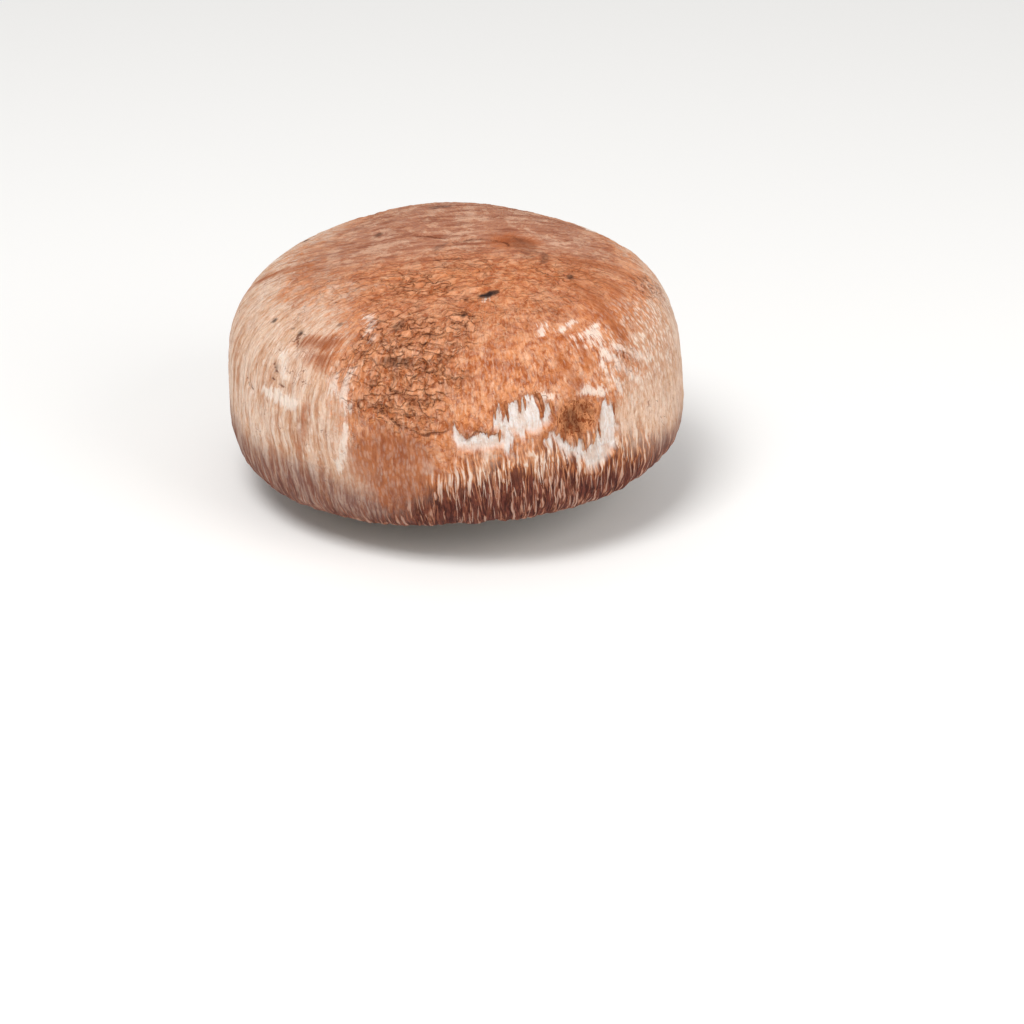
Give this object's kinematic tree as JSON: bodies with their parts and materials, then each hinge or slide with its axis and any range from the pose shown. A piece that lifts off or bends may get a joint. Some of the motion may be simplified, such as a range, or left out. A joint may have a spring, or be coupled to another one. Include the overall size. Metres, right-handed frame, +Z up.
{
  "type": "portobello mushroom",
  "caption": "Fresh portobello mushroom standing on its cut stem: a thick, broad brown cap with its margin rolled in round dark gills, on a short pale stem with a torn ring.",
  "frame": {"origin": "on the surface that the mushroom stands on, below the middle of the whole mushroom", "axes": "+Z up, from the cut end of the stem to the crown of the cap; +X along the cap's greatest width; -Y is the front"},
  "size_m": [0.1102, 0.0994, 0.0646],
  "materials": {
    "cap": "matt, dry, finely fibrous skin, brown to tan, with cream flesh where it is torn",
    "gills": "matt, moist, dark chocolate brown",
    "stem": "matt, fibrous, cream white, browned at the cut end"
  },
  "bodies": {
    "root": {"cap": "cap", "gills": "gills", "stem": "stem"}
  },
  "joints": []
}
